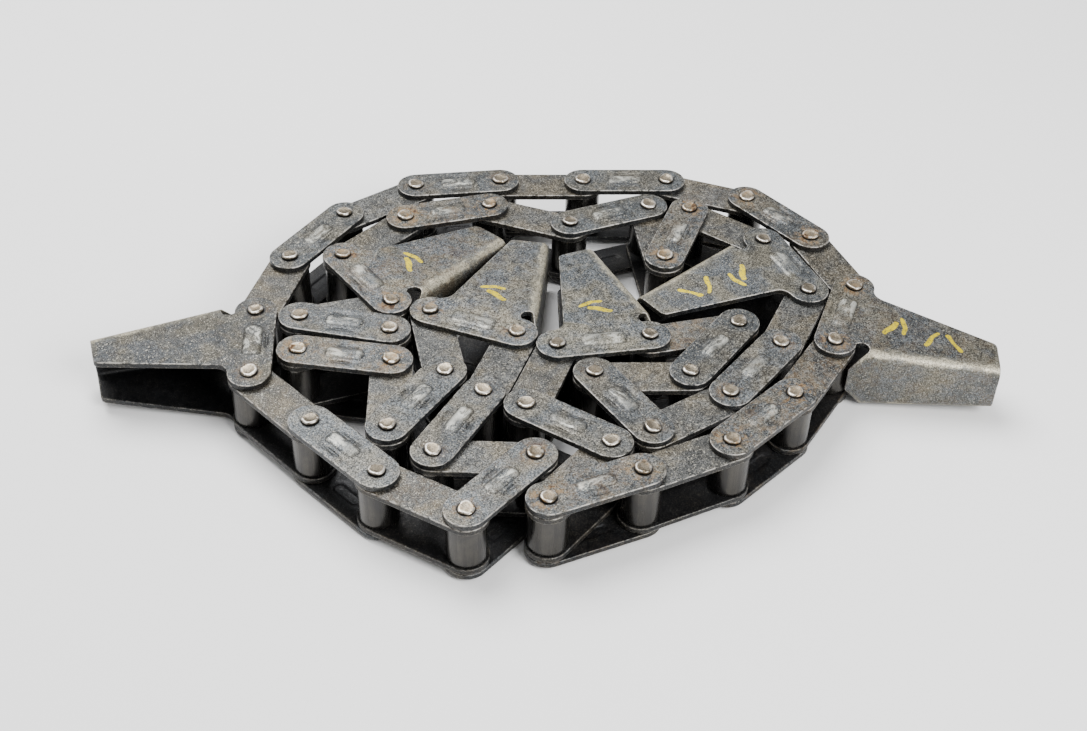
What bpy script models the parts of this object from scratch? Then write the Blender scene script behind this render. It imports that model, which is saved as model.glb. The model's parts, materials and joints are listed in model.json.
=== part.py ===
"""Heap of attachment chain: one endless steel roller chain, folded up and lying on its side.

Every pin stands upright, so the links turn in the plane of the floor. The chain alternates
between inner links, with their rollers, and outer links, with their riveted pins. Six of the
outer links are lugs: a folded channel whose two flat wings reach out to one side.
"""

import math

import bmesh
import bpy
from mathutils import Vector

MM = 0.001

# Chain sizes
PITCH = 41.4 * MM
PLATE_HEIGHT = 18.6 * MM
PLATE_THICKNESS = 2.6 * MM
INSIDE_WIDTH = 19.8 * MM
PLATE_CLEARANCE = 0.35 * MM
ROLLER_DIAMETER = 16.8 * MM
PIN_DIAMETER = 7.2 * MM
BORE_DIAMETER = 8.44 * MM
HEAD_DIAMETER = 8.2 * MM
HEAD_HEIGHT = 1.6 * MM

# Lug sizes, from the first pin: +X along the link, and -Y out to the tips of the wings
WEB_ROOT = Vector((-4.5, -15.0)) * MM
WEB_TIP = Vector((10.5, -72.0)) * MM
OPEN_TIP = Vector((28.5, -67.5)) * MM
OPEN_NECK = Vector((36.8, -10.0)) * MM
RELIEF_CENTRE = Vector((-3.2, -12.0)) * MM
RELIEF_RADIUS = 3.2 * MM
BEND_RADIUS = 4.2 * MM

# Facets
PLATE_END_STEPS = 6
ROLLER_SIDES = 10
PIN_SIDES = 8
BEND_STEPS = 3
SHARP_ANGLE = math.radians(50)

# Levels, from the floor upwards
OUTER_LOW = HEAD_HEIGHT
OUTER_LOW_TOP = OUTER_LOW + PLATE_THICKNESS
INNER_LOW = OUTER_LOW_TOP + PLATE_CLEARANCE
INNER_LOW_TOP = INNER_LOW + PLATE_THICKNESS
INNER_HIGH = INNER_LOW_TOP + INSIDE_WIDTH
INNER_HIGH_TOP = INNER_HIGH + PLATE_THICKNESS
OUTER_HIGH = INNER_HIGH_TOP + PLATE_CLEARANCE
OUTER_HIGH_TOP = OUTER_HIGH + PLATE_THICKNESS
PIN_TOP = OUTER_HIGH_TOP + HEAD_HEIGHT

# The chain in order. Each line is an outer link or lug and the inner link after it, with the
# way that each of the two points, in degrees from +X towards +Y. The last two links close the
# loop, so their headings follow from the others.
LINKS = (
    ("lug_link", 128, 50),
    ("outer_link", 17, -18),
    ("outer_link", 23, -81),
    ("outer_link", 71, -35),
    ("lug_link", -65, -113),
    ("outer_link", -126, -145),
    ("outer_link", 125, 3),
    ("outer_link", 56, -165),
    ("lug_link", -169, -108),
    ("outer_link", -31, -127),
    ("outer_link", 25, 27),
    ("outer_link", 46, 59),
    ("lug_link", 71, 113),
    ("outer_link", 132, 162),
    ("outer_link", -177, -177),
    ("outer_link", -171, -142),
    ("outer_link", -121, -103),
    ("lug_link", -85, -44),
    ("outer_link", -43, -28),
    ("outer_link", 51, 180),
    ("outer_link", 63, 72),
    ("lug_link", 161, -77),
    ("outer_link", -121, 93),
    ("outer_link", 173, 22),
    ("outer_link", None, None),
)

# Steel as it shows on the links: dark and oiled, and a little lighter on the lugs
OUTER_STEEL = (0.115, 0.115, 0.110)
INNER_STEEL = (0.095, 0.095, 0.092)
LUG_STEEL = (0.130, 0.130, 0.125)
STEEL_ROUGHNESS = 0.45


def arc(centre, radius, start, end, steps):
    """Points on an arc, with angles in degrees."""
    points = []
    for step in range(steps + 1):
        angle = math.radians(start + (end - start) * step / steps)
        points.append(Vector((centre[0] + radius * math.cos(angle), centre[1] + radius * math.sin(angle))))
    return points


def circle(x, diameter, sides):
    """Points of a round on the line of the pins."""
    return arc((x, 0), diameter / 2, 0, 360, sides)[:-1]


def both_pins(diameter, sides):
    """The same round at the first pin and at the second."""
    return [circle(0, diameter, sides), circle(PITCH, diameter, sides)]


def plate_outline():
    """Straight link plate with a full round at each end."""
    radius = PLATE_HEIGHT / 2
    far_end = arc((PITCH, 0), radius, -90, 90, PLATE_END_STEPS)
    near_end = arc((0, 0), radius, 90, 270, PLATE_END_STEPS)
    return far_end + near_end


def inward():
    """Unit vector square to the lug's bend, from the web into the wing."""
    along = (WEB_TIP - WEB_ROOT).normalized()
    return Vector((-along.y, along.x))


def wing_outline():
    """Lug plate: a link plate with a tapered wing, from the bend's root round to its tip.

    A relief hole parts the root of the bend from the round end at the first pin.
    """
    radius = PLATE_HEIGHT / 2
    fold = inward() * BEND_RADIUS
    relief = arc(RELIEF_CENTRE, RELIEF_RADIUS, 0, 37, 1)
    near_end = arc((0, 0), radius, -105, -270, PLATE_END_STEPS)
    far_end = arc((PITCH, 0), radius, 90, -90, PLATE_END_STEPS)
    return [WEB_ROOT + fold] + relief + near_end + far_end + [OPEN_NECK, OPEN_TIP, WEB_TIP + fold]


def ring(bm, outline, level):
    """Vertices of one outline at one level."""
    return [bm.verts.new((point[0], point[1], level)) for point in outline]


def rings(bm, outlines, level):
    return [ring(bm, outline, level) for outline in outlines]


def wall(bm, low, high, closed=True):
    """Upright faces between two rings; an open wall leaves out the side that closes them."""
    for index in range(0 if closed else 1, len(low)):
        bm.faces.new((low[index - 1], low[index], high[index], high[index - 1]))


def fill(bm, *loops):
    """Flat face inside the first loop and around the others."""
    edges = []
    for loop in loops:
        for index, vertex in enumerate(loop):
            pair = (loop[index - 1], vertex)
            edges.append(bm.edges.get(pair) or bm.edges.new(pair))
    bmesh.ops.triangle_fill(bm, use_beauty=True, use_dissolve=False, edges=edges)


def finish(bm, name):
    """One closed mesh from the faces made so far."""
    bmesh.ops.remove_doubles(bm, verts=bm.verts, dist=0.001 * MM)
    bmesh.ops.recalc_face_normals(bm, faces=bm.faces)
    mesh = bpy.data.meshes.new(name)
    bm.to_mesh(mesh)
    bm.free()
    mesh.shade_smooth()
    mesh.set_sharp_from_angle(angle=SHARP_ANGLE)
    return mesh


def inner_link_mesh():
    """Two plates on two rollers, bored right through for the pins."""
    bm = bmesh.new()
    plate = plate_outline()
    bores = both_pins(BORE_DIAMETER, PIN_SIDES)
    rollers = both_pins(ROLLER_DIAMETER, ROLLER_SIDES)
    plate_rings = [ring(bm, plate, z) for z in (INNER_LOW, INNER_LOW_TOP, INNER_HIGH, INNER_HIGH_TOP)]
    bore_rings = [rings(bm, bores, z) for z in (INNER_LOW, INNER_HIGH_TOP)]
    roller_rings = [rings(bm, rollers, z) for z in (INNER_LOW_TOP, INNER_HIGH)]
    fill(bm, plate_rings[0], *bore_rings[0])
    wall(bm, plate_rings[0], plate_rings[1])
    fill(bm, plate_rings[1], *roller_rings[0])
    fill(bm, plate_rings[2], *roller_rings[1])
    wall(bm, plate_rings[2], plate_rings[3])
    fill(bm, plate_rings[3], *bore_rings[1])
    for pin in range(2):
        wall(bm, roller_rings[0][pin], roller_rings[1][pin])
        wall(bm, bore_rings[0][pin], bore_rings[1][pin])
    return finish(bm, "inner_link")


def pinned_plates(bm, outline, closed):
    """Two plates held by two pins, whose riveted heads stand proud of the plates."""
    heads = both_pins(HEAD_DIAMETER, PIN_SIDES)
    pins = both_pins(PIN_DIAMETER, PIN_SIDES)
    plate_rings = [ring(bm, outline, z) for z in (OUTER_LOW, OUTER_LOW_TOP, OUTER_HIGH, OUTER_HIGH_TOP)]
    head_rings = [rings(bm, heads, z) for z in (0, OUTER_LOW, OUTER_HIGH_TOP, PIN_TOP)]
    pin_rings = [rings(bm, pins, z) for z in (OUTER_LOW_TOP, OUTER_HIGH)]
    fill(bm, plate_rings[0], *head_rings[1])
    wall(bm, plate_rings[0], plate_rings[1], closed)
    fill(bm, plate_rings[1], *pin_rings[0])
    fill(bm, plate_rings[2], *pin_rings[1])
    wall(bm, plate_rings[2], plate_rings[3], closed)
    fill(bm, plate_rings[3], *head_rings[2])
    for pin in range(2):
        bm.faces.new(head_rings[0][pin])
        wall(bm, head_rings[0][pin], head_rings[1][pin])
        wall(bm, pin_rings[0][pin], pin_rings[1][pin])
        wall(bm, head_rings[2][pin], head_rings[3][pin])
        bm.faces.new(head_rings[3][pin])


def outer_link_mesh():
    bm = bmesh.new()
    pinned_plates(bm, plate_outline(), closed=True)
    return finish(bm, "outer_link")


def bend_section(radius):
    """Section of the fold, as distance from the web's outside and level, top to bottom."""
    top = arc((BEND_RADIUS, OUTER_HIGH_TOP - BEND_RADIUS), radius, 90, 180, BEND_STEPS)
    bottom = arc((BEND_RADIUS, OUTER_LOW + BEND_RADIUS), radius, 180, 270, BEND_STEPS)
    return top + bottom


def lug_link_mesh():
    """Two winged plates and their pins, joined by the folded web on the first pin's side."""
    bm = bmesh.new()
    pinned_plates(bm, wing_outline(), closed=False)
    sections = []
    for end in (WEB_ROOT, WEB_TIP):
        for radius in (BEND_RADIUS, BEND_RADIUS - PLATE_THICKNESS):
            places = [(end + inward() * inset, level) for inset, level in bend_section(radius)]
            sections.append([bm.verts.new((place.x, place.y, level)) for place, level in places])
    root_out, root_in, tip_out, tip_in = sections
    for first, second in ((root_out, tip_out), (root_in, tip_in), (root_out, root_in), (tip_out, tip_in)):
        wall(bm, first, second, closed=False)
    return finish(bm, "lug_link")


def steel(name, colour):
    material = bpy.data.materials.new(name)
    material.use_nodes = True
    shader = material.node_tree.nodes["Principled BSDF"]
    shader.inputs["Base Color"].default_value = (*colour, 1.0)
    shader.inputs["Metallic"].default_value = 1.0
    shader.inputs["Roughness"].default_value = STEEL_ROUGHNESS
    return material


def step_along(point, heading):
    return point + Vector((math.cos(heading), math.sin(heading))) * PITCH


def chain_headings():
    """Heading of every link in order, in radians, with the loop closed by the last two."""
    headings = [math.radians(angle) for link in LINKS[:-1] for angle in link[1:]]
    point = Vector((0, 0))
    for heading in headings:
        point = step_along(point, heading)
    towards_start = math.atan2(-point.y, -point.x)
    opening = math.acos(point.length / (2 * PITCH))
    return headings + [towards_start + opening, towards_start - opening]


def place_links():
    """Every link in its place, as (name, kind, first pin, heading)."""
    headings = chain_headings()
    point = Vector((0, 0))
    placed = []
    for number, link in enumerate(LINKS, start=1):
        for kind, heading in zip((link[0], "inner_link"), headings[2 * number - 2:2 * number]):
            placed.append((f"{kind}_{number:02d}", kind, point, heading))
            point = step_along(point, heading)
    return placed


def build():
    for item in list(bpy.data.objects):
        bpy.data.objects.remove(item, do_unlink=True)
    meshes = {"inner_link": inner_link_mesh(), "outer_link": outer_link_mesh(), "lug_link": lug_link_mesh()}
    colours = {"inner_link": INNER_STEEL, "outer_link": OUTER_STEEL, "lug_link": LUG_STEEL}
    for kind, mesh in meshes.items():
        mesh.materials.append(steel(f"{kind}_steel", colours[kind]))
    links = []
    for name, kind, point, heading in place_links():
        link = bpy.data.objects.new(name, meshes[kind])
        link.location = (point.x, point.y, 0)
        link.rotation_euler = (0, 0, heading)
        bpy.context.collection.objects.link(link)
        links.append(link)
    centre_on_floor(links)


def centre_on_floor(links):
    """Move the heap so that the origin is below the middle of its box."""
    bpy.context.view_layer.update()
    corners = [link.matrix_world @ vertex.co for link in links for vertex in link.data.vertices]
    middle_x = (min(c.x for c in corners) + max(c.x for c in corners)) / 2
    middle_y = (min(c.y for c in corners) + max(c.y for c in corners)) / 2
    for link in links:
        link.location.x -= middle_x
        link.location.y -= middle_y


build()
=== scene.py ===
"""Looks of the heap of attachment chain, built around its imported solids.

Every real piece is modelled: embossed outer plates, inner plates with their bushings, rollers,
riveted pins and the folded lugs. Each kind is made once around its link's middle, in
millimetres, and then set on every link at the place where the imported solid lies.
"""

import json
import math
import random

import bmesh
import bpy
import numpy as np
from mathutils import Matrix, Vector, geometry, noise

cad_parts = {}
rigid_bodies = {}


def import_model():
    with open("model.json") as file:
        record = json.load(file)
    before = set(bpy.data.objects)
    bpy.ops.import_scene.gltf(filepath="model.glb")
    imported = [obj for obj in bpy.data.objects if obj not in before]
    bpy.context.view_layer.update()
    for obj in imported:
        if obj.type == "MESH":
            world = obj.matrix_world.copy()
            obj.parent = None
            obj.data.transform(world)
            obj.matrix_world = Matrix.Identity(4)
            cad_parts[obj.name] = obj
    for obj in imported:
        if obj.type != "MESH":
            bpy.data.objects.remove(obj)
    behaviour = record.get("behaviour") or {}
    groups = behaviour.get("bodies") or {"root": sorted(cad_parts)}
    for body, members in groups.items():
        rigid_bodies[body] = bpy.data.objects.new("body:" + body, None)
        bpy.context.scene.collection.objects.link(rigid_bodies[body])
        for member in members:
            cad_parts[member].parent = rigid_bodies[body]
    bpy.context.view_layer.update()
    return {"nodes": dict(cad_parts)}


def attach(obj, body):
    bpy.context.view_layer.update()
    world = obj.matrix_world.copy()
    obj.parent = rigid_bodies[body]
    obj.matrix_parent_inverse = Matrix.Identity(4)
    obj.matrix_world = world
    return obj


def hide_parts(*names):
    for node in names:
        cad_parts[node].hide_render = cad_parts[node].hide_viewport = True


for leftover in list(bpy.data.objects):
    bpy.data.objects.remove(leftover, do_unlink=True)
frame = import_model()

MM = 0.001

# Chain sizes in millimetres; plates, rollers and levels are those of the solids
PITCH = 41.4
HALF = PITCH / 2
PLATE_HEIGHT = 18.6
PLATE_RADIUS = PLATE_HEIGHT / 2
THICKNESS = 2.6
INSIDE_WIDTH = 19.8
PLATE_CLEARANCE = 0.35
PIN_RADIUS = 3.3
HEAD_RADIUS = 3.6
HEAD_HEIGHT = 1.45
BUSH_RADIUS = 5.1
BUSH_BORE = 3.75
ROLLER_RADIUS = 8.4
ROLLER_BORE = 5.4
ROLLER_PLAY = 0.2
HOLE_FIT = 0.03

# Sampling of the meshes: sides of round things and the spacing of points on flat faces
PLATE_END_STEPS = 22
HOLE_SIDES = 24
PIN_SIDES = 28
GROOVE_SIDES = 28
TUBE_SIDES = 44
FACE_SPACING = 2.4
EMBOSS_SPACING = 2.2
KEEP_CLEAR = 0.45

# A corner moves at most twice as far as the outline it is in, and steeper folds look sharp
LEAST_SQUARENESS = 0.5
SHARP_ANGLE = math.radians(50)

# Sampling of the lug's blank: steps on its straight edges, degrees round its notch, and rows
# along the bend crossed by columns
TONGUE_CORNER_STEPS = 5
TONGUE_EDGE_STEPS = 5
TIP_EDGE_STEPS = 17
NOTCH_TURN = 8
BEND_ROWS = 6
WEB_ROWS = 7
WING_ROWS = range(1, 26)
WING_COLUMNS = range(-14, 31)
WING_SPACING = 2.0
COLUMN_SHIFT = 0.3
CLEAR_OF_EDGE = 0.7
CLEAR_OF_HOLE = 0.9

# Levels from the floor upwards
OUTER_LOW = 1.6
INNER_LOW = OUTER_LOW + THICKNESS + PLATE_CLEARANCE
INNER_HIGH_TOP = INNER_LOW + 2 * THICKNESS + INSIDE_WIDTH
OUTER_HIGH_TOP = INNER_HIGH_TOP + PLATE_CLEARANCE + THICKNESS

# Lug sizes from the middle of its link; the wings reach to -Y. The notch and the tongue are
# given along the bend from the web's root, and the tongue's straight end starts inside the bend
WEB_ROOT = Vector((-4.5 - HALF, -15.0))
WEB_TIP = Vector((10.5 - HALF, -72.0))
OPEN_TIP = Vector((28.5 - HALF, -67.5))
OPEN_NECK = Vector((36.8 - HALF, -10.0))
NECK_RADIUS = 6.0
TIP_RADIUS = 3.0
NOTCH_RADIUS = 3.5
NOTCH_AHEAD = 1.5
TONGUE_REACH = 6.7
TONGUE_START = 12.0
TONGUE_RADIUS = 2.2
BEND_RADIUS = 4.2
WEB_SPAN = OUTER_HIGH_TOP - OUTER_LOW - 2 * BEND_RADIUS
BEND_ARC = BEND_RADIUS * math.pi / 2
BLANK_WIDTH = 2 * BEND_ARC + WEB_SPAN
NEAR_PIN = Vector((-HALF, 0))

# The first bend on the flat blank: its direction, the direction off the wing, and its root
ALONG_BEND = (WEB_TIP - WEB_ROOT).normalized()
OFF_WING = Vector((ALONG_BEND.y, -ALONG_BEND.x))
BEND_ROOT = WEB_ROOT - OFF_WING * BEND_RADIUS

# The wings lean towards each other from here out, by this much each at the tip
LEAN_FROM = 12.5
LEAN_AT_TIP = 4.2
LEAN_SLOPE = LEAN_AT_TIP / (-WEB_TIP.y - LEAN_FROM)

# A painted highlight along the lugs' bends, in shares of the bend's arc, and a faint lighter band over the
# web
HIGHLIGHT_MIDDLE = 0.36
HIGHLIGHT_REACH = 0.66
WEB_LIGHTER_FROM = 0.6
WEB_LIGHTER = 0.15

# Rust fades over some millimetres from the pins to a steady share farther off
RUST_REACH = 9
RUST_FADE = 4
RUST_FAR_OFF = 0.3

# Painted shade on the faces turned inwards, so the inside of the chain reads dark as in shadow
INSIDE_SHADE = 0.95

# Across a blanked edge, from the outer face to the inner: inset, depth, wear and painted shade, which
# darkens the side walls and the inner face
EDGE = (
    (1.7, 0.0, 0.0, 0.0),
    (0.6, 0.0, 0.05, 0.0),
    (0.28, 0.0, 0.7, 0.0),
    (0.10, 0.10, 1.0, 0.0),
    (0.0, 0.32, 0.5, 0.15),
    (0.0, 0.7, 0.0, 0.75),
    (0.0, THICKNESS - 0.55, 0.0, 0.75),
    (0.0, THICKNESS - 0.22, 0.45, 0.2),
    (0.10, THICKNESS - 0.06, 0.5, 0.3),
    (0.28, THICKNESS, 0.3, 0.5),
    (0.75, THICKNESS, 0.0, INSIDE_SHADE),
    (1.7, THICKNESS, 0.0, INSIDE_SHADE),
)

# Around a bored hole, from the outer face to the inner: added radius, depth and painted shade, a dark ring
# where the plate meets its pin or bushing
HOLE_EDGE = (
    (1.6, 0.0, 0.0),
    (0.9, 0.0, 0.3),
    (0.45, 0.0, 1.0),
    (0.0, 0.2, 1.0),
    (0.0, THICKNESS - 0.2, 1.0),
    (0.3, THICKNESS, 1.0),
    (1.3, THICKNESS, INSIDE_SHADE),
)

# Embossing in the middle of each outer plate: the pad and the dimple behind it, as length, width
# and corner radius, and the grooves beside the pad, as their span from the plate's middle line.
# The steps of each are inset, lift towards the outer face, wear, scraping that also paints a highlight on
# the pad's top, and painted shade at the pad's foot, in the grooves and in the dimple
PLATE_PAD = (17.5, 7.4, 2.6)
LUG_PAD = (21.0, 9.0, 3.2)
PAD_STEPS = (
    (0.0, 0.0, 0.0, 0.0, 0.0),
    (0.35, 0.05, 0.0, 0.1, 0.65),
    (0.7, 0.26, 0.0, 0.4, 0.1),
    (1.15, 0.52, 0.1, 0.8, 0.0),
    (1.7, 0.68, 0.1, 1.0, 0.0),
    (2.4, 0.74, 0.0, 1.0, 0.0),
)
DIMPLE = (15.0, 5.6, 2.7)
DIMPLE_STEPS = (
    (0.0, 0.0, 0.1, 0.0, INSIDE_SHADE),
    (0.35, 0.2, 0.0, 0.0, INSIDE_SHADE),
    (0.75, 0.5, 0.0, 0.0, INSIDE_SHADE),
    (1.2, 0.55, 0.0, 0.0, INSIDE_SHADE),
)
GROOVE_LENGTH = 13.0
GROOVE_DEEPEST = 0.27
PLATE_GROOVE = (4.6, 7.2)
LUG_GROOVE = (5.3, 7.3)
# For the grooves the inset is a share of their half width
GROOVE_STEPS = (
    (0.0, 0.0, 0.0, 0.0, 0.0),
    (0.22, -0.10, 0.0, 0.0, 0.15),
    (0.46, -0.34, 0.0, 0.0, 0.3),
    (0.7, -0.52, 0.0, 0.0, 0.25),
    (0.86, -0.56, 0.0, 0.0, 0.15),
)

# A riveted head, from the plate outwards, as head() draws it: inset from its spread, share of
# its height, added height, wear, painted shade (the shadow under the head) and unevenness
HEAD_STEPS = (
    (0.2, 0.0, 0.05, 0.0, 1.0, 0.3),
    (0.0, 0.0, 0.35, 0.0, 0.8, 0.5),
    (0.0, 0.0, 0.65, 0.1, 0.5, 0.6),
    (0.06, 1.0, -0.45, 0.7, 0.1, 0.7),
    (0.28, 1.0, -0.16, 1.0, 0.0, 0.75),
    (0.65, 1.0, -0.02, 1.0, 0.0, 0.75),
    (1.05, 1.0, 0.0, 0.4, 0.0, 0.7),
)
HEIGHT_VARIES = (-0.15, 0.15)
SPREAD_VARIES = (-0.12, 0.2)
DISH_VARIES = (0.1, 0.35)
LEAN_VARIES = (-0.12, 0.12)

# How much yellow crayon each lug carries and how light its steel is. The lug at the left of the
# photograph is the dark and bare one
LUG_LOOKS = {
    "lug_link_01": (0.5, 1.0),
    "lug_link_05": (1.0, 1.25),
    "lug_link_09": (0.5, 1.4),
    "lug_link_13": (1.0, 1.15),
    "lug_link_18": (0.0, 0.68),
    "lug_link_22": (0.5, 1.22),
}

# Crayon strokes on a lug's upper wing, in millimetres: start, end and the crayon it takes
STROKES = (
    ((-7, -19), (2, -23), 0.2),
    ((-4, -28), (6, -25), 0.2),
    ((-6, -38), (3, -42), 0.8),
    ((-4, -52), (4, -47), 0.8),
)

# Scales of the steel's grain
COARSE_GRAIN = 420
FINE_GRAIN = 1900
FLECK_GRAIN = 1500

# Colours of the steel and of what lies on it
OUTER_COOL = (0.064, 0.070, 0.074, 1)
OUTER_WARM = (0.098, 0.091, 0.074, 1)
INNER_COOL = (0.065, 0.066, 0.064, 1)
INNER_WARM = (0.099, 0.087, 0.065, 1)
LUG_COOL = (0.060, 0.066, 0.071, 1)
LUG_WARM = (0.097, 0.090, 0.070, 1)
PIN_COOL = (0.185, 0.158, 0.118, 1)
PIN_WARM = (0.27, 0.225, 0.165, 1)
ROLLER_DARK = (0.052, 0.050, 0.047, 1)
ROLLER_LIGHT = (0.072, 0.068, 0.061, 1)
ROLLER_CLOUD = (0.04, 0.04, 0.042, 1)
ROLLER_RIM = (0.36, 0.34, 0.30, 1)
LIGHT_FLECK = (0.32, 0.305, 0.26, 1)
DARK_FLECK = (0.011, 0.012, 0.014, 1)
# Pale steel of the pads: scraping, with a painted highlight on their raised tops
SCRAPED_AND_HIGHLIT = (0.42, 0.42, 0.38, 1)
# Pale tan of the painted highlight on the lugs' bends
BEND_HIGHLIGHT_COLOUR = (0.48, 0.44, 0.33, 1)
DUST = (0.26, 0.165, 0.075, 1)
RUST = (0.055, 0.026, 0.011, 1)
# Near-black painted shade for creases, bores, the feet of heads and the faces turned inwards
SHADE_COLOUR = (0.007, 0.007, 0.008, 1)
ROLLER_SHADE_COLOUR = (0.008, 0.008, 0.009, 1)
YELLOW = (0.60, 0.47, 0.0, 1)

# Lamps: place in metres, size and power
LAMPS = {
    "top": (Vector((-0.35, 0.4, 1.1)), 0.9, 28.0),
    "front": (Vector((0.75, -0.75, 0.9)), 0.7, 26.0),
}
FLOOR_REACH = 4.0
SURROUND_STRENGTH = 0.6

# Camera of the photograph, fitted to the heads of the pins
VIEW_ELEVATION = math.radians(41.0)
VIEW_ROLL = math.radians(1.707)
VIEW_DISTANCE = 0.6663
VIEW_AIM = Vector((-0.0009, -0.0307, 0.0341))
VIEW_FOCAL_PIXELS = 1558.5
IMAGE_WIDTH_PIXELS = 1087
SENSOR_WIDTH = 36.0


def arc(centre, radius, start, end, steps):
    """Points on an arc, with angles in degrees."""
    points = []
    for step in range(steps + 1):
        angle = math.radians(start + (end - start) * step / steps)
        points.append(Vector((centre[0] + radius * math.cos(angle), centre[1] + radius * math.sin(angle))))
    return points


def circle(x, y, radius, sides):
    """Points on a circle."""
    return arc((x, y), radius, 0, 360, sides)[:-1]


def rounded_box(length, width, radius, steps=6):
    """Outline of a rectangle with round corners around the link's middle."""
    points = []
    for turn, (side_x, side_y) in enumerate(((1, 1), (-1, 1), (-1, -1), (1, -1))):
        corner = (side_x * (length / 2 - radius), side_y * (width / 2 - radius))
        points += arc(corner, radius, 90 * turn, 90 * turn + 90, steps)
    return points


def fillet(before, corner, after, radius, steps=8):
    """Round off one corner of an outline."""
    back = (before - corner).normalized()
    on = (after - corner).normalized()
    half_angle = back.angle(on) / 2
    reach = radius / math.tan(half_angle)
    middle = corner + (back + on).normalized() * (radius / math.sin(half_angle))
    first = corner + back * reach - middle
    last = corner + on * reach - middle
    sweep = first.angle_signed(last)
    return [middle + Matrix.Rotation(-sweep * step / steps, 2) @ first for step in range(steps + 1)]


def inset(outline, distance):
    """The same outline moved inwards, point by point."""
    if not is_anticlockwise(outline):
        distance = -distance
    moved = []
    for index, point in enumerate(outline):
        back = (point - outline[index - 1]).normalized()
        on = (outline[(index + 1) % len(outline)] - point).normalized()
        normal = Vector((-back.y - on.y, back.x + on.x)).normalized()
        squareness = max(LEAST_SQUARENESS, normal.dot(Vector((-back.y, back.x))))
        moved.append(point + normal * distance / squareness)
    return moved


def is_anticlockwise(outline):
    """Whether an outline runs anticlockwise, from twice its signed area."""
    return sum(a.x * b.y - b.x * a.y for a, b in zip(outline, outline[1:] + outline[:1])) > 0


def is_inside(point, outline):
    """Whether a point lies inside a closed outline."""
    inside = False
    x, y = point
    for index, (x1, y1) in enumerate(outline):
        x0, y0 = outline[index - 1]
        if (y0 > y) != (y1 > y) and x < (x1 - x0) * (y - y0) / (y1 - y0) + x0:
            inside = not inside
    return inside


class Surface:
    """A mesh under construction, with each point's wear, embossing, painted shade and painted bend
    highlight.
    """

    # The third layer is painted shade, dark where shade falls: creases, bores, under heads and inside the
    # chain.
    LAYERS = ("wear", "pad", "painted_shade", "bend")

    def __init__(self):
        self.points = []
        self.layers = []
        self.faces = []

    def ring(self, outline, depth, wear=0.0, pad=0.0, painted_shade=0.0):
        """Points of an outline at one depth; returns their numbers."""
        start = len(self.points)
        self.points += [(point[0], point[1], depth) for point in outline]
        self.layers += [(wear, pad, painted_shade, 0.0)] * len(outline)
        return list(range(start, len(self.points)))

    def bridge(self, first, second):
        """Band of faces between two rings of as many points."""
        for index in range(len(first)):
            self.faces.append((first[index - 1], first[index], second[index], second[index - 1]))

    def bridge_all(self, rings):
        """Bands of faces from each ring to the next."""
        for first, second in zip(rings, rings[1:]):
            self.bridge(first, second)

    def outline(self, ring):
        """Where a ring's points lie, seen square to the sheet."""
        return [Vector(self.points[index][:2]) for index in ring]

    def cap(self, outer, holes=(), spare=(), pad=0.0, painted_shade=0.0):
        """Triangles inside the outer ring and outside the holes, through the spare points."""
        rings = [outer, *holes]
        order = [index for ring in rings for index in ring]
        outlines = [[self.points[index][:2] for index in ring] for ring in rings]
        flat = [Vector(self.points[index][:2]) for index in order]
        depth = self.points[outer[0]][2]
        order += self.ring(spare, depth, 0.0, pad, painted_shade)
        flat += [Vector(point) for point in spare]
        edges = []
        start = 0
        for ring in rings:
            count = len(ring)
            edges += [(start + index, start + (index + 1) % count) for index in range(count)]
            start += count
        corners, _, faces, origins, *_ = geometry.delaunay_2d_cdt(flat, edges, [], 0, 1e-5)
        source = [origin[0] for origin in origins]
        for face in faces:
            middle = sum((Vector(corners[corner]) for corner in face), Vector((0, 0))) / 3
            if points_between([middle], outlines[0], outlines[1:]):
                self.faces.append(tuple(order[source[corner]] for corner in face))


def points_between(points, outline, holes):
    """Those of the points that lie inside an outline and outside its holes."""
    return [p for p in points if is_inside(p, outline) and not any(is_inside(p, hole) for hole in holes)]


def grid_inside(outline, holes, spacing):
    """Evenly spaced points inside an outline and clear of its holes."""
    tight = inset(outline, spacing * KEEP_CLEAR)
    wide = [inset(hole, -spacing * KEEP_CLEAR) for hole in holes]
    reach = int(max(point.length for point in outline) / spacing) + 1
    steps = range(-reach, reach + 1)
    grid = [Vector((column * spacing, row * spacing)) for row in steps for column in steps]
    return points_between(grid, tight, wide)


def emboss(surface, ring_at, steps, level, place):
    """Concentric rings that raise or sink a shape, closed by a cap; returns the outermost ring.

    A positive lift moves the sheet towards its outer face.
    """
    rings = []
    for distance, lift, wear, pad, painted_shade in steps:
        outline = [place(point) for point in ring_at(distance)]
        rings.append(surface.ring(outline, level - lift, wear, pad, painted_shade))
    surface.bridge_all(rings)
    spare = grid_inside(outline, [], EMBOSS_SPACING)
    surface.cap(rings[-1], spare=spare, pad=pad, painted_shade=painted_shade)
    return rings[0]


def box_rings(length, width, radius):
    """Rings of a pad or dimple around the middle of the link."""
    return lambda back: rounded_box(length - 2 * back, width - 2 * back, radius - back)


def groove_rings(span, side):
    """Rings of a crescent groove beside the pad, steep towards the pad and easy outwards."""
    near, far = span
    deepest = near + GROOVE_DEEPEST * (far - near)

    def ring_at(share):
        points = []
        for point in circle(0, 0, 1 - share, GROOVE_SIDES):
            width = far - deepest if point.y > 0 else deepest - near
            points.append(Vector((point.x * GROOVE_LENGTH / 2, side * (deepest + width * point.y))))
        return points
    return ring_at


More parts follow.
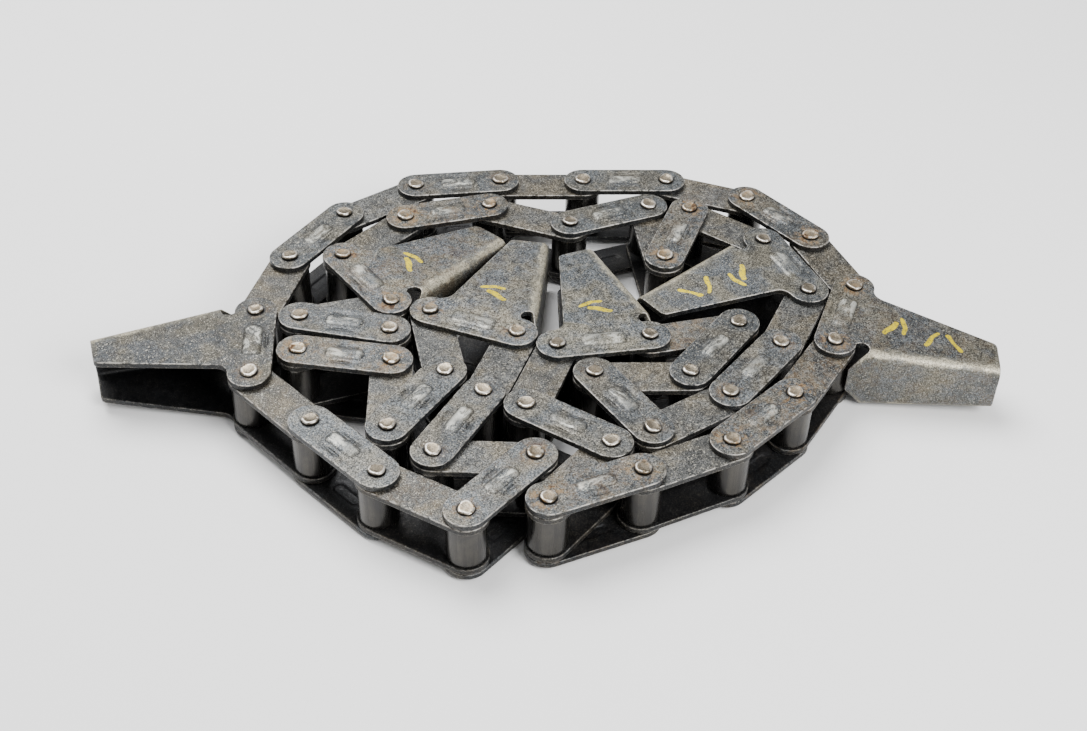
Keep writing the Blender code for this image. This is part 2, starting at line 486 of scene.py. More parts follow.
def sheet(outline, holes, outer_shapes, inner_shapes, spare_at):
    """A steel sheet: worn edges all round, bored holes, and embossing on either face.

    Depth runs from the outer face at 0 to the inner face at the sheet's thickness.
    """
    surface = Surface()
    rings = [surface.ring(inset(outline, back), depth, worn, 0.0, darkening) for back, depth, worn, darkening in EDGE]
    surface.bridge_all(rings)
    outer_edge, inner_edge = rings[0], rings[-1]
    outer_holes = []
    inner_holes = []
    for x, y, radius in holes:
        rings = [
            surface.ring(circle(x, y, radius + grow, HOLE_SIDES), depth, painted_shade=darkening)
            for grow, depth, darkening in HOLE_EDGE
        ]
        surface.bridge_all(rings)
        outer_holes.append(rings[0])
        inner_holes.append(rings[-1])
    outer_holes += [emboss(surface, *shape, 0, place) for *shape, place in outer_shapes]
    inner_holes += [emboss(surface, *shape, THICKNESS, place) for *shape, place in inner_shapes]
    # The inner face is painted dark all over as shade.
    faces = ((outer_edge, outer_holes, 0.0), (inner_edge, inner_holes, INSIDE_SHADE))
    for ring, ring_holes, darkening in faces:
        spare = spare_at(surface.outline(ring), [surface.outline(hole) for hole in ring_holes])
        surface.cap(ring, ring_holes, spare, painted_shade=darkening)
    return surface


def even_spares(face, holes):
    """Points on the faces of a flat plate."""
    return grid_inside(face, holes, FACE_SPACING)


def plate_outline():
    """Straight link plate with a full round at each end."""
    far_end = arc((HALF, 0), PLATE_RADIUS, -90, 90, PLATE_END_STEPS)
    near_end = arc((-HALF, 0), PLATE_RADIUS, 90, 270, PLATE_END_STEPS)
    return far_end + near_end


def outer_plate():
    """Outer plate with its pad between two crescent grooves, and a dimple behind the pad."""
    holes = [(x, 0, PIN_RADIUS + HOLE_FIT) for x in (-HALF, HALF)]
    raised = [(box_rings(*PLATE_PAD), PAD_STEPS, Vector)]
    raised += [(groove_rings(PLATE_GROOVE, side), GROOVE_STEPS, Vector) for side in (-1, 1)]
    sunk = [(box_rings(*DIMPLE), DIMPLE_STEPS, Vector)]
    return sheet(plate_outline(), holes, raised, sunk, even_spares)


def inner_plate():
    """Flat inner plate, bored for its bushings."""
    holes = [(x, 0, BUSH_RADIUS + HOLE_FIT) for x in (-HALF, HALF)]
    return sheet(plate_outline(), holes, [], [], even_spares)


def past_bend(point):
    """How far a point of the blank lies beyond the start of its first bend."""
    return (Vector(point) - BEND_ROOT).dot(OFF_WING)


def on_blank(along_web, off_bend):
    """A point of the blank given along the web from its root and across it from the bend's start."""
    return BEND_ROOT + ALONG_BEND * along_web + OFF_WING * off_bend


def mirrored_on_blank(point):
    """The same point of the lug's other wing, on the flat blank."""
    return Vector(point) + OFF_WING * (BLANK_WIDTH - 2 * past_bend(point))


def is_link_plate(place):
    """Whether a point of the blank is in the round end of the link plate beyond the bend's line."""
    return (place - NEAR_PIN).length < PLATE_RADIUS + 0.01


def fold(point, depth):
    """Where a point of the flat lug blank ends up once the blank is folded round its web."""
    place = Vector(point)
    beyond = past_bend(place)
    line = place - OFF_WING * beyond
    radius = BEND_RADIUS - depth
    if is_link_plate(place):
        return place.x, place.y, OUTER_HIGH_TOP - depth
    if is_link_plate(mirrored_on_blank(place)):
        place = mirrored_on_blank(place)
        return place.x, place.y, OUTER_LOW + depth
    if beyond <= 0:
        return place.x, place.y, OUTER_HIGH_TOP - depth
    if beyond <= BEND_ARC:
        angle = beyond / BEND_RADIUS
        line += OFF_WING * radius * math.sin(angle)
        return line.x, line.y, OUTER_HIGH_TOP - BEND_RADIUS + radius * math.cos(angle)
    if beyond <= BEND_ARC + WEB_SPAN:
        line += OFF_WING * radius
        return line.x, line.y, OUTER_HIGH_TOP - BEND_RADIUS - (beyond - BEND_ARC)
    past = beyond - BEND_ARC - WEB_SPAN
    if past <= BEND_ARC:
        angle = past / BEND_RADIUS
        line += OFF_WING * radius * math.cos(angle)
        return line.x, line.y, OUTER_LOW + BEND_RADIUS - radius * math.sin(angle)
    line -= OFF_WING * (past - BEND_ARC)
    return line.x, line.y, OUTER_LOW + depth


def leaning(x, y, z):
    """A point of the folded channel, moved as its wings lean towards each other."""
    drop = LEAN_SLOPE * max(0.0, -y - LEAN_FROM)
    above = z - (OUTER_HIGH_TOP + OUTER_LOW) / 2
    return x, y, z - drop * max(-1.0, min(1.0, 2 * above / WEB_SPAN))


def notch():
    """Round notch beside the bend, from the tongue at the web's end up to the link plate's end."""
    middle = on_blank(NOTCH_AHEAD - NOTCH_RADIUS, 0)
    corner = on_blank(-TONGUE_REACH, TONGUE_START)
    slope = (corner - middle).normalized()
    lift = math.acos(NOTCH_RADIUS / (corner - middle).length)
    touch = middle + Matrix.Rotation(lift, 2) @ slope * NOTCH_RADIUS
    tongue_middle = on_blank(-TONGUE_REACH, BLANK_WIDTH / 2)
    points = fillet(tongue_middle, corner, touch, TONGUE_RADIUS, TONGUE_CORNER_STEPS)
    for angle in range(0, 360, NOTCH_TURN):
        point = middle + Matrix.Rotation(math.radians(angle), 2) @ (touch - middle)
        if (point - NEAR_PIN).length < PLATE_RADIUS:
            return points + [NEAR_PIN + (point - NEAR_PIN).normalized() * PLATE_RADIUS]
        points.append(point)
    return points


def between(start, end, steps):
    """Points that part a straight edge into equal steps, without its ends."""
    return [start.lerp(end, step / steps) for step in range(1, steps)]


def lug_blank():
    """Outline of the flat blank: one wing from the tongue to the tip, then its mirror image."""
    tip = on_blank((WEB_TIP - WEB_ROOT).length, 0)
    half = notch()
    end = half[-1] - NEAR_PIN
    end_angle = math.degrees(math.atan2(end.y, end.x))
    half += arc((-HALF, 0), PLATE_RADIUS, end_angle, -270, PLATE_END_STEPS)[1:]
    half += arc((HALF, 0), PLATE_RADIUS, 90, -90, PLATE_END_STEPS)
    half += fillet(half[-1], OPEN_NECK, OPEN_TIP, NECK_RADIUS)[1:]
    half += fillet(OPEN_NECK, OPEN_TIP, tip, TIP_RADIUS)
    half += [tip]
    other = [mirrored_on_blank(point) for point in half]
    tongue_edge = between(half[0], other[0], TONGUE_EDGE_STEPS)
    tip_edge = between(tip, other[-1], TIP_EDGE_STEPS)
    outline = half + tip_edge + other[::-1] + tongue_edge[::-1]
    return outline if is_anticlockwise(outline) else outline[::-1]


def lug_spares(face, holes):
    """Points of the blank in rows along the bend, closer together where the sheet is bent."""
    rows = [BEND_ARC * step / BEND_ROWS for step in range(BEND_ROWS + 1)]
    rows += [BEND_ARC + WEB_SPAN + row for row in rows]
    rows += [BEND_ARC + WEB_SPAN * step / WEB_ROWS for step in range(1, WEB_ROWS)]
    rows += [-WING_SPACING * step for step in WING_ROWS]
    rows += [BLANK_WIDTH + WING_SPACING * step for step in WING_ROWS]
    columns = [step * WING_SPACING + COLUMN_SHIFT for step in WING_COLUMNS]
    tight = inset(face, CLEAR_OF_EDGE)
    wide = [inset(hole, -CLEAR_OF_HOLE) for hole in holes]
    return points_between([on_blank(column, row) for row in rows for column in columns], tight, wide)


def bend_highlight_at(x, y, depth):
    """How strong the painted highlight on the outside of the bends is at a point of the blank."""
    if depth > THICKNESS / 2 or is_link_plate(Vector((x, y))):
        return 0.0
    beyond = past_bend((x, y))
    share = min(beyond, BLANK_WIDTH - beyond) / BEND_ARC
    on_web = WEB_LIGHTER if share > WEB_LIGHTER_FROM else 0.0
    return max(0.0, 1 - abs(share - HIGHLIGHT_MIDDLE) / HIGHLIGHT_REACH, on_web)


def lug_sheet():
    """The folded lug, made flat like its blank and then folded."""
    holes = []
    for x in (-HALF, HALF):
        other = mirrored_on_blank((x, 0))
        holes.append((x, 0, PIN_RADIUS + HOLE_FIT))
        holes.append((other.x, other.y, PIN_RADIUS + HOLE_FIT))
    raised = []
    sunk = []
    for place in (Vector, mirrored_on_blank):
        raised.append((box_rings(*LUG_PAD), PAD_STEPS, place))
        raised.append((groove_rings(LUG_GROOVE, 1), GROOVE_STEPS, place))
        sunk.append((box_rings(*DIMPLE), DIMPLE_STEPS, place))
    surface = sheet(lug_blank(), holes, raised, sunk, lug_spares)
    # The last layer holds the painted highlight along the bends.
    for index, point in enumerate(surface.points):
        surface.layers[index] = (*surface.layers[index][:3], bend_highlight_at(*point))
    surface.points = [leaning(*fold(point[:2], point[2])) for point in surface.points]
    return surface


def swell(angle, level, rough, seed):
    """How far a turned ring stands out of round at one side."""
    around = Vector((math.cos(angle), math.sin(angle), 0))
    broad = noise.noise(around * 0.8 + Vector((seed, seed * 0.37, 0)))
    fine = noise.noise(around * 2.1 + Vector((seed * 0.5, seed, level * 0.1)))
    return (broad + 0.4 * fine) * rough


def lathe(profile, sides, x, seed=0.0, lean=(0.0, 0.0)):
    """A turned piece on an upright axis; where it is rough it runs out of round and level."""
    surface = Surface()
    rings = []
    for radius, level, wear, painted_shade, rough in profile:
        outline = []
        for side in range(sides):
            angle = 2 * math.pi * side / sides
            reach = radius + swell(angle, level, rough, seed)
            outline.append(Vector((x + reach * math.cos(angle), reach * math.sin(angle))))
        rings.append(surface.ring(outline, level, wear, 0.0, painted_shade))
        for index in rings[-1]:
            across, up, height = surface.points[index]
            tilt = rough * ((across - x) * lean[0] + up * lean[1])
            surface.points[index] = (across, up, height + tilt)
    surface.bridge_all(rings)
    return surface, rings


def head(end, side, draw):
    """Profile of a riveted head from its plate outwards, with a height, spread and dish drawn."""
    height = HEAD_HEIGHT + draw.uniform(*HEIGHT_VARIES)
    spread = HEAD_RADIUS + draw.uniform(*SPREAD_VARIES)
    dish = draw.uniform(*DISH_VARIES)
    # Painted shadow where the head meets the plate; the dished top is a little darker.
    profile = [(PIN_RADIUS, end + 0.02 * side, 0.0, 1.0, 0.0)]
    for back, share, added, wear, painted_shade, rough in HEAD_STEPS:
        profile.append((spread - back, end + (height * share + added) * side, wear, painted_shade, rough))
    profile.append((spread - 1.6, end + (height - dish * 0.6) * side, 0.0, 0.1, 0.6))
    profile.append((1.0, end + (height - dish) * side, 0.0, 0.15, 0.3))
    return profile


def pin(x, seed):
    """Riveted pin: two peened heads, each a little uneven."""
    draw = random.Random(seed)
    low = head(OUTER_LOW, -1, draw)
    high = head(OUTER_HIGH_TOP, 1, draw)
    lean = (draw.uniform(*LEAN_VARIES), draw.uniform(*LEAN_VARIES))
    surface, rings = lathe(low[::-1] + high, PIN_SIDES, x, seed * 3.7, lean)
    surface.cap(rings[0])
    surface.cap(rings[-1])
    surface.points = [(across, up, max(0.0, height)) for across, up, height in surface.points]
    return surface


def tube(x, outside, bore, low, high, rounding, worn):
    """Turned tube with rounded ends."""
    # Steps of an end: radius, setback, wear and painted shade, darkest in the bore.
    end = (
        (bore, rounding, 0.0, 1.0),
        (bore + rounding * 0.6, 0.0, 0.2, 0.3),
        (outside - rounding, 0.0, worn, 0.1),
        (outside - rounding * 0.3, rounding * 0.3, worn, 0.0),
        (outside, rounding, worn * 0.5, 0.0),
        (outside, rounding * 3, 0.0, 0.0),
    )
    profile = [(radius, low + back, wear, painted_shade, 0.0) for radius, back, wear, painted_shade in end]
    profile += [(radius, high - back, wear, painted_shade, 0.0) for radius, back, wear, painted_shade in end[::-1]]
    surface, rings = lathe(profile, TUBE_SIDES, x)
    surface.bridge(rings[-1], rings[0])
    return surface


def at_level(surface, level, side):
    """Set a flat sheet at its level, with its outer face up for 1 or down for -1."""
    placed = Surface()
    placed.points = [(x, side * y, level - side * depth) for x, y, depth in surface.points]
    placed.layers = list(surface.layers)
    placed.faces = list(surface.faces)
    return placed


def joined(*surfaces):
    """Several surfaces as one."""
    whole = Surface()
    for surface in surfaces:
        start = len(whole.points)
        whole.points += surface.points
        whole.layers += surface.layers
        whole.faces += [tuple(index + start for index in face) for face in surface.faces]
    return whole


def set_layer(mesh, name, values):
    """Store one number for each vertex, for the materials to read."""
    mesh.attributes.new(name, "FLOAT", "POINT").data.foreach_set("value", values)


def to_mesh(surface, name):
    """A surface as a mesh in metres, with its layers, even normals and sharp folds."""
    mesh = bpy.data.meshes.new(name)
    mesh.from_pydata([[value * MM for value in point] for point in surface.points], [], surface.faces)
    for number, layer in enumerate(Surface.LAYERS):
        set_layer(mesh, layer, [values[number] for values in surface.layers])
    bm = bmesh.new()
    bm.from_mesh(mesh)
    bmesh.ops.recalc_face_normals(bm, faces=bm.faces)
    bm.to_mesh(mesh)
    bm.free()
    mesh.shade_smooth()
    mesh.set_sharp_from_angle(angle=SHARP_ANGLE)
    return mesh


def link_line(node):
    """Middle and direction of a link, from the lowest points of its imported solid.

    Those are the rims of its two pin heads, or the underside of an inner link.
    """
    corners = np.array([vertex.co for vertex in frame["nodes"][node].data.vertices])
    corners = np.unique(corners.round(6), axis=0)
    low = corners[corners[:, 2] < corners[:, 2].min() + 0.1 * MM][:, :2]
    middle = low.mean(axis=0)
    along = np.linalg.eigh(np.cov((low - middle).T))[1][:, 1]
    return Vector(middle), Vector(along)


def link_places():
    """Middle and heading of every link, each heading on along the chain to the next link."""
    numbered = sorted(frame["nodes"], key=lambda node: (node[-2:], node.startswith("inner")))
    lines = [link_line(node) for node in numbered]
    places = []
    for index, (middle, along) in enumerate(lines):
        ahead = lines[(index + 1) % len(lines)][0] - lines[index - 1][0]
        if along.dot(ahead) < 0:
            along = -along
        places.append((numbered[index], middle, math.atan2(along.y, along.x)))
    return places


class Nodes:
    """A material and short calls for its node tree, laid out in the coordinates of its object."""

    def __init__(self, name):
        self.material = bpy.data.materials.new(name)
        self.material.use_nodes = True
        self.tree = self.material.node_tree
        self.shader = self.tree.nodes["Principled BSDF"]
        self.place = self.add("ShaderNodeTexCoord").outputs["Object"]
        self.seed = self.attribute("seed")

    def add(self, kind, inputs=None, **settings):
        """New node with its settings, and with its inputs linked or set."""
        node = self.tree.nodes.new(kind)
        for key, value in settings.items():
            setattr(node, key, value)
        for key, value in (inputs or {}).items():
            self.set(node.inputs[key], value)
        return node

    def set(self, socket, value):
        """Feed a socket from another node, or with a constant."""
        if isinstance(value, bpy.types.NodeSocket):
            self.tree.links.new(value, socket)
        else:
            socket.default_value = value

    def math(self, operation, first, second):
        """A number worked out from two others."""
        return self.add("ShaderNodeMath", {0: first, 1: second}, operation=operation).outputs[0]

    def vector(self, operation, first, second):
        """A vector worked out from two others."""
        node = self.add("ShaderNodeVectorMath", {0: first, 1: second}, operation=operation)
        return node.outputs["Vector"]

    def measure(self, operation, first, second):
        """A number worked out from two vectors."""
        node = self.add("ShaderNodeVectorMath", {0: first, 1: second}, operation=operation)
        return node.outputs["Value"]

    def scaled(self, vector, factor):
        """A vector or colour times a number."""
        node = self.add("ShaderNodeVectorMath", {0: vector, "Scale": factor}, operation="SCALE")
        return node.outputs["Vector"]

    def ramp(self, value, low, high, low_to=0.0, high_to=1.0):
        """Smooth step from one value at the low end to another at the high end."""
        inputs = {0: value, 1: low, 2: high, 3: low_to, 4: high_to}
        return self.add("ShaderNodeMapRange", inputs, interpolation_type="SMOOTHSTEP").outputs[0]

    def mix(self, share, first, second):
        """The first colour, covered by a share of the second."""
        node = self.add("ShaderNodeMix", data_type="RGBA")
        self.set(node.inputs[0], share)
        self.set(node.inputs[6], first)
        self.set(node.inputs[7], second)
        return node.outputs[2]

    def noise(self, scale, detail, roughness, distortion=0.0, vector=None, seed=None):
        """Cloudy noise on a piece, another for each seed."""
        inputs = {
            "Vector": self.place if vector is None else vector,
            "W": self.seed if seed is None else seed,
            "Scale": scale,
            "Detail": detail,
            "Roughness": roughness,
            "Distortion": distortion,
        }
        return self.add("ShaderNodeTexNoise", inputs, noise_dimensions="4D").outputs[0]

    def attribute(self, name):
        """A number stored on the vertices of the mesh."""
        return self.add("ShaderNodeAttribute", attribute_name=name).outputs["Fac"]


def grey(level, warmth=0.0):
    """Steel grey, warmer or cooler by a few hundredths."""
    return (level * (1 + warmth), level, level * (1 - 1.5 * warmth), 1.0)


def grained(n, cool, warm, coarse, fine, grain):
    """Cool and warm patches, each piece lighter or darker, under coarse to fine grain and flecks."""
    base = n.mix(n.ramp(n.noise(60, 4, 0.6, 0.6), 0.42, 0.64), cool, warm)
    shade = n.math("MULTIPLY", n.ramp(n.attribute("tone"), 0, 1, 0.84, 1.16), n.attribute("light"))
    for texture, amount in ((n.noise(140, 3, 0.6, 0.3), 0.22), (coarse, 0.24), (fine, 0.80)):
        spread = amount * grain
        shade = n.math("MULTIPLY", shade, n.ramp(texture, 0.32, 0.68, 1 - spread, 1 + spread))
    base = n.scaled(base, shade)
    flecks = n.noise(FLECK_GRAIN, 1, 0.5, seed=n.math("ADD", n.seed, 9.0))
    base = n.mix(n.ramp(flecks, 0.60, 0.70, 0.0, 0.8 * grain), base, LIGHT_FLECK)
    return n.mix(n.ramp(flecks, 0.39, 0.29, 0.0, 0.8 * grain), base, DARK_FLECK)


def scraped_and_highlit(n):
    """Where the pads are rubbed bright, partly scraping and partly a painted highlight on their raised
    tops, in streaks along the plate.
    """
    lengthwise = n.vector("MULTIPLY", n.place, (0.45, 1, 1))
    streaks = n.ramp(n.noise(210, 5, 0.8, 0.9, lengthwise), 0.47, 0.58, 0.03, 0.92)
    patches = n.ramp(n.noise(90, 1, 0.5), 0.38, 0.56, 0.25, 1.0)
    return n.math("MULTIPLY", n.attribute("pad"), n.math("MULTIPLY", streaks, patches))


def bend_highlight(n, fine):
    """A painted highlight along a lug's bends, with ragged borders and a faint haze around."""
    bend = n.attribute("bend")
    ragged = n.math("MULTIPLY", n.math("SUBTRACT", n.noise(120, 5, 0.7, 0.6), 0.5), 2.4)
    highlight = n.ramp(n.math("ADD", bend, ragged), 0.42, 0.76, 0.0, 0.85)
    highlight = n.math("MULTIPLY", highlight, n.ramp(fine, 0.36, 0.60, 0.35, 1.0))
    highlight = n.math("MULTIPLY", highlight, n.ramp(bend, 0.1, 0.4))
    return n.math("MAXIMUM", highlight, n.math("MULTIPLY", bend, 0.3))


def worn_rim(n, low, high, least):
    """Where an edge is worn bright, broken up between two values of a fine noise."""
    broken = n.ramp(n.noise(COARSE_GRAIN, 3, 0.65), low, high, least, 1.0)
    return n.ramp(n.math("MULTIPLY", n.attribute("wear"), broken), 0.15, 0.9)


def rust_spots(n):
    """Tan dust and darker spots around the pins, with how strongly they cover the steel."""
    dust = n.ramp(n.noise(260, 4, 0.7, 0.5), 0.46, 0.62, 0.0, 0.6)
    spots = n.noise(110, 4, 0.65, 0.6, seed=n.math("ADD", n.seed, 5.0))
    cover = n.math("MAXIMUM", dust, n.ramp(spots, 0.55, 0.60, 0.0, 0.9))
    tint = n.mix(n.ramp(spots, 0.57, 0.64), DUST, RUST)
    return tint, n.math("MULTIPLY", cover, n.ramp(n.attribute("rust"), 0.0, 0.7))


def from_stroke(n, place, start, end):
    """Distance of a place on the wing from one crayon stroke."""
    run = end - start
    offset = n.vector("SUBTRACT", place, start)
    share = n.measure("DOT_PRODUCT", offset, run / run.length_squared)
    share = n.add("ShaderNodeClamp", {0: share}).outputs[0]
    return n.measure("DISTANCE", offset, n.scaled(run, share))


def crayon(n):
    """Where the yellow crayon lies: a few plain slanted strokes across a lug's upper wing."""
    wobble = n.add("ShaderNodeTexNoise", {"Vector": n.place, "Scale": 110.0, "Detail": 1.0})
    wobble = n.vector("SUBTRACT", wobble.outputs["Color"], (0.5, 0.5, 0.5))
    wobble = n.vector("MULTIPLY", wobble, (0.005, 0.005, 0))
    flat = n.vector("ADD", n.vector("MULTIPLY", n.place, (1, 1, 0)), wobble)
    marked = n.attribute("marked")
    nearest = 1.0
    for start, end, needed in STROKES:
        away = from_stroke(n, flat, Vector((*start, 0)) * MM, Vector((*end, 0)) * MM)
        away = n.math("ADD", away, n.math("LESS_THAN", marked, needed))
        nearest = n.math("MINIMUM", nearest, away)
    level = n.measure("DOT_PRODUCT", n.place, (0, -LEAN_SLOPE, 1))
    upper_face = (OUTER_HIGH_TOP + LEAN_SLOPE * LEAN_FROM - 1) * MM
    drawn = n.math("MULTIPLY", n.ramp(nearest, 0.0013, 0.0008), n.math("GREATER_THAN", level, upper_face))
    return n.math("MULTIPLY", drawn, n.ramp(n.noise(900, 2, 0.6, seed=0.0), 0.34, 0.50, 0.3, 1.0))


def rough_finish(n, coarse, fine, rusty, roughness, grain):
    """Roughness and relief of oiled steel, duller where it rusts and smoother where it is worn."""
    dull = n.ramp(coarse, 0.3, 0.7, roughness - 0.08, roughness + 0.12)
    dull = n.math("ADD", dull, n.math("MULTIPLY", rusty, 0.25))
    dull = n.math("SUBTRACT", dull, n.math("MULTIPLY", n.attribute("wear"), 0.08))
    n.set(n.shader.inputs["Roughness"], dull)
    height = n.math("ADD", fine, n.math("MULTIPLY", coarse, 0.8))
    height = n.math("ADD", height, n.math("MULTIPLY", n.noise(80, 2, 0.5), 2.5))
    bump = n.add("ShaderNodeBump", {"Height": height, "Strength": 0.5 * grain, "Distance": 0.00025})
    n.set(n.shader.inputs["Normal"], bump.outputs[0])


def steel(name, cool, warm, edge, roughness, metallic=0.6, grain=1.0, crayoned=False):
    """Oiled steel: worn edges, rust, scraping, painted highlights on pads and bends, and painted shade."""
    n = Nodes(name)
    coarse = n.noise(COARSE_GRAIN, 2, 0.6)
    fine = n.noise(FINE_GRAIN, 1, 0.5)
    base = grained(n, cool, warm, coarse, fine, grain)
    # Scraping on the pads, with a painted highlight on their raised tops
    base = n.mix(scraped_and_highlit(n), base, SCRAPED_AND_HIGHLIT)
    # Painted highlight along the lugs' bends
    base = n.mix(bend_highlight(n, fine), base, BEND_HIGHLIGHT_COLOUR)
    base = n.mix(worn_rim(n, 0.34, 0.62, 0.1), base, edge)
    tint, rusty = rust_spots(n)
    base = n.mix(rusty, base, tint)
    # Painted shade: near black in the creases, bores, under the heads and on the faces turned inwards.
    shaded = n.math("MULTIPLY", n.attribute("painted_shade"), n.ramp(fine, 0.45, 0.8, 1.0, 0.8))
    base = n.mix(shaded, base, SHADE_COLOUR)
    if crayoned:
        base = n.mix(crayon(n), base, YELLOW)
    n.set(n.shader.inputs["Base Color"], base)
    n.shader.inputs["Metallic"].default_value = metallic
    rough_finish(n, coarse, fine, rusty, roughness, grain)
    return n.material


def turned_steel():
    """Rollers: smooth dark steel polished in upright streaks, with worn rims."""
    n = Nodes("roller_steel")
    upright = n.vector("MULTIPLY", n.place, (1, 1, 0.06))
    streaks = n.noise(COARSE_GRAIN, 3, 0.6, 0.2, upright)
    base = n.mix(n.ramp(streaks, 0.34, 0.66), ROLLER_DARK, ROLLER_LIGHT)
    base = n.mix(n.ramp(n.noise(90, 3, 0.6, 0.4), 0.45, 0.65, 0.0, 0.5), base, ROLLER_CLOUD)
    base = n.mix(worn_rim(n, 0.32, 0.6, 0.2), base, ROLLER_RIM)
    # Painted shade in the bores and at the ends of the rollers.
    base = n.mix(n.attribute("painted_shade"), base, ROLLER_SHADE_COLOUR)
    n.set(n.shader.inputs["Base Color"], base)
    n.set(n.shader.inputs["Roughness"], n.ramp(streaks, 0.3, 0.7, 0.30, 0.24))
    n.shader.inputs["Metallic"].default_value = 0.95
    bump = n.add("ShaderNodeBump", {"Height": streaks, "Strength": 0.15, "Distance": 0.0002})
    n.set(n.shader.inputs["Normal"], bump.outputs[0])
    return n.material


MATERIALS = {
    "outer_plate_steel": steel(
        "outer_plate_steel", OUTER_COOL, OUTER_WARM, edge=grey(0.34, 0.05), roughness=0.45),
    "inner_plate_steel": steel(
        "inner_plate_steel", INNER_COOL, INNER_WARM, edge=grey(0.30, 0.05), roughness=0.46),
    "lug_steel": steel(
        "lug_steel", LUG_COOL, LUG_WARM, edge=grey(0.34, 0.06), roughness=0.44, crayoned=True),
    "pin_steel": steel(
        "pin_steel", PIN_COOL, PIN_WARM, edge=grey(0.58, 0.06), roughness=0.38, metallic=0.85, grain=0.4),
    "roller_steel": turned_steel(),
}


def rust_of(vertex, rusted):
    """Rust at a vertex: full beside a pin, and fading to a steady rest farther off."""
    to_pin = min((vertex.co.xy - Vector((x * MM, 0))).length for x in (-HALF, HALF)) / MM
    return rusted * max(RUST_FAR_OFF, min(1.0, (RUST_REACH - to_pin) / RUST_FADE))


def place_piece(name, surface, slot, node, middle, heading, number):
    """Set a copy of a piece on its link, with a shade and rust of its own."""
    mesh = to_mesh(surface, name)
    draw = random.Random(number * 17 + len(name))
    seed = draw.uniform(0, 40)
    tone = draw.random()
    rusted = max(0.0, random.Random(number).uniform(-0.5, 1.0)) if slot != "roller_steel" else 0.0
    marked, light = LUG_LOOKS.get(node, (0.0, 1.0))
    if slot == "pin_steel":
        light = 1.0
    for layer, value in (("seed", seed), ("tone", tone), ("light", light), ("marked", marked)):
        set_layer(mesh, layer, [value] * len(mesh.vertices))
    set_layer(mesh, "rust", [rust_of(vertex, rusted) for vertex in mesh.vertices])
    mesh.materials.append(MATERIALS[slot])
    piece = bpy.data.objects.new(name, mesh)
    bpy.context.scene.collection.objects.link(piece)
    piece.location = (middle.x, middle.y, 0)
    piece.rotation_euler = (0, 0, heading)
    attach(piece, "root")
    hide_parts(node)


def outer_pair():
    """The two plates of an outer link, with their outer faces up and down."""
    plate = outer_plate()
    return joined(at_level(plate, OUTER_HIGH_TOP, 1), at_level(plate, OUTER_LOW, -1))


def inner_frame():
    """The two plates of an inner link and the bushings pressed into them."""
    plate = inner_plate()
    bushings = [
        tube(x, BUSH_RADIUS, BUSH_BORE, INNER_LOW, INNER_HIGH_TOP, rounding=0.3, worn=0.3)
        for x in (-HALF, HALF)
    ]
    return joined(at_level(plate, INNER_HIGH_TOP, 1), at_level(plate, INNER_LOW, -1), *bushings)


def roller_pair():
    """The two rollers of an inner link, standing between its plates."""
    low = INNER_LOW + THICKNESS + ROLLER_PLAY
    high = INNER_HIGH_TOP - THICKNESS - ROLLER_PLAY
    rollers = [
        tube(x, ROLLER_RADIUS, ROLLER_BORE, low, high, rounding=0.5, worn=0.7)
        for x in (-HALF, HALF)
    ]
    return joined(*rollers)


def build_links():
    """Every link of the chain, from one model of each kind and pins of its own."""
    outer_plates = outer_pair()
    inner_plates = inner_frame()
    rollers = roller_pair()
    lug = lug_sheet()
    for number, (node, middle, heading) in enumerate(link_places()):
        place = (node, middle, heading, number)
        if node.startswith("inner"):
            place_piece(f"{node}_plates", inner_plates, "inner_plate_steel", *place)
            place_piece(f"{node}_rollers", rollers, "roller_steel", *place)
        else:
            pins = joined(pin(-HALF, number + 0.31), pin(HALF, number + 0.77))
            if node.startswith("outer"):
                place_piece(f"{node}_plates", outer_plates, "outer_plate_steel", *place)
            else:
                place_piece(f"{node}_sheet", lug, "lug_steel", *place)
            place_piece(f"{node}_pins", pins, "pin_steel", *place)


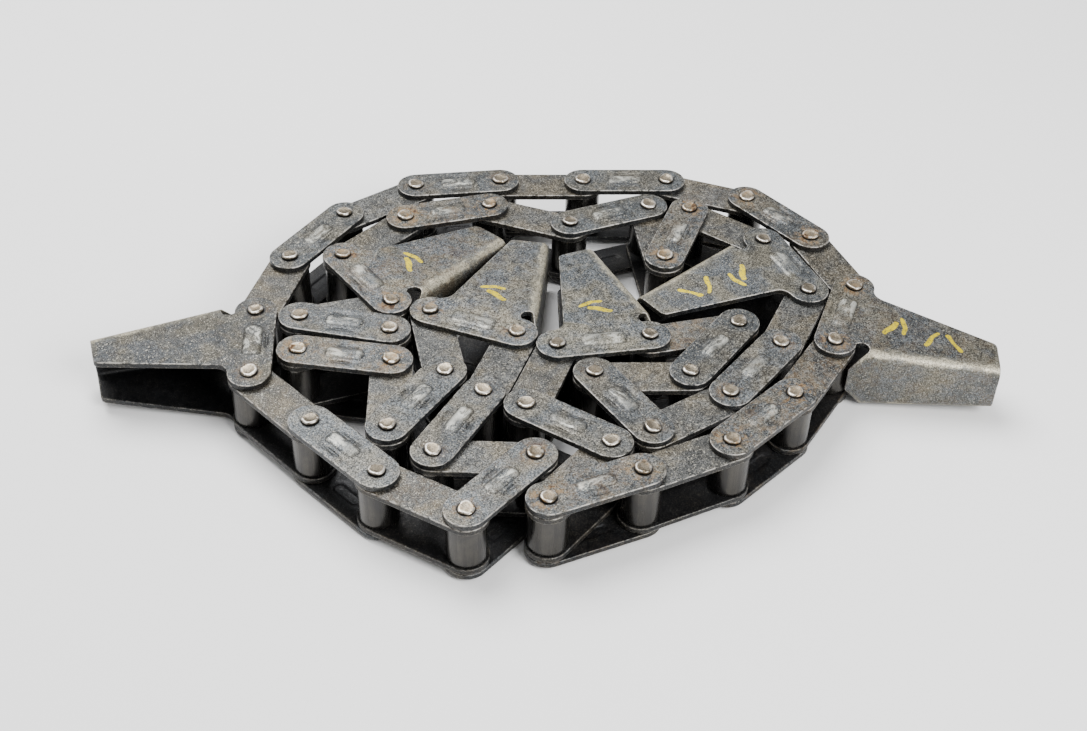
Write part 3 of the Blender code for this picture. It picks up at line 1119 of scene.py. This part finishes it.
def pale_floor():
    """Plain pale floor, a little uneven in tone."""
    mesh = bpy.data.meshes.new("floor")
    corners = [(x * FLOOR_REACH, y * FLOOR_REACH, 0) for x, y in ((-1, -1), (1, -1), (1, 1), (-1, 1))]
    mesh.from_pydata(corners, [], [(0, 1, 2, 3)])
    n = Nodes("floor")
    n.set(n.shader.inputs["Base Color"], n.mix(n.noise(3, 2, 0.5, seed=0.0), grey(0.80), grey(0.84)))
    n.shader.inputs["Roughness"].default_value = 0.9
    mesh.materials.append(n.material)
    floor = bpy.data.objects.new("floor", mesh)
    bpy.context.scene.collection.objects.link(floor)


def surround():
    """Even white light from all sides."""
    world = bpy.data.worlds.new("studio")
    bpy.context.scene.world = world
    world.use_nodes = True
    background = world.node_tree.nodes["Background"]
    background.inputs["Color"].default_value = (1.0, 1.0, 1.0, 1.0)
    background.inputs["Strength"].default_value = SURROUND_STRENGTH


def soft_lamps():
    """Round lamps above the heap, turned to its middle."""
    for name, (place, size, power) in LAMPS.items():
        light = bpy.data.lights.new(name, "AREA")
        light.shape = "DISK"
        light.size = size
        light.energy = power
        lamp = bpy.data.objects.new(name, light)
        lamp.location = place
        lamp.rotation_mode = "QUATERNION"
        lamp.rotation_quaternion = (-place).to_track_quat("-Z", "Y")
        bpy.context.scene.collection.objects.link(lamp)


def photograph_camera():
    """The photograph's camera, from its fitted elevation, roll, distance and focal length."""
    data = bpy.data.cameras.new("camera")
    data.sensor_width = SENSOR_WIDTH
    data.lens = SENSOR_WIDTH * VIEW_FOCAL_PIXELS / IMAGE_WIDTH_PIXELS
    data.clip_start = 0.01
    data.clip_end = 20
    camera = bpy.data.objects.new("camera", data)
    bpy.context.scene.collection.objects.link(camera)
    back = Vector((0, -math.cos(VIEW_ELEVATION), math.sin(VIEW_ELEVATION)))
    right = Vector((1, 0, 0))
    up = back.cross(right)
    right_rolled = right * math.cos(VIEW_ROLL) + up * math.sin(VIEW_ROLL)
    up_rolled = up * math.cos(VIEW_ROLL) - right * math.sin(VIEW_ROLL)
    turn = Matrix((right_rolled, up_rolled, back)).transposed()
    camera.matrix_world = Matrix.Translation(VIEW_AIM + back * VIEW_DISTANCE) @ turn.to_4x4()
    bpy.context.scene.camera = camera


build_links()
pale_floor()
surround()
soft_lamps()
photograph_camera()
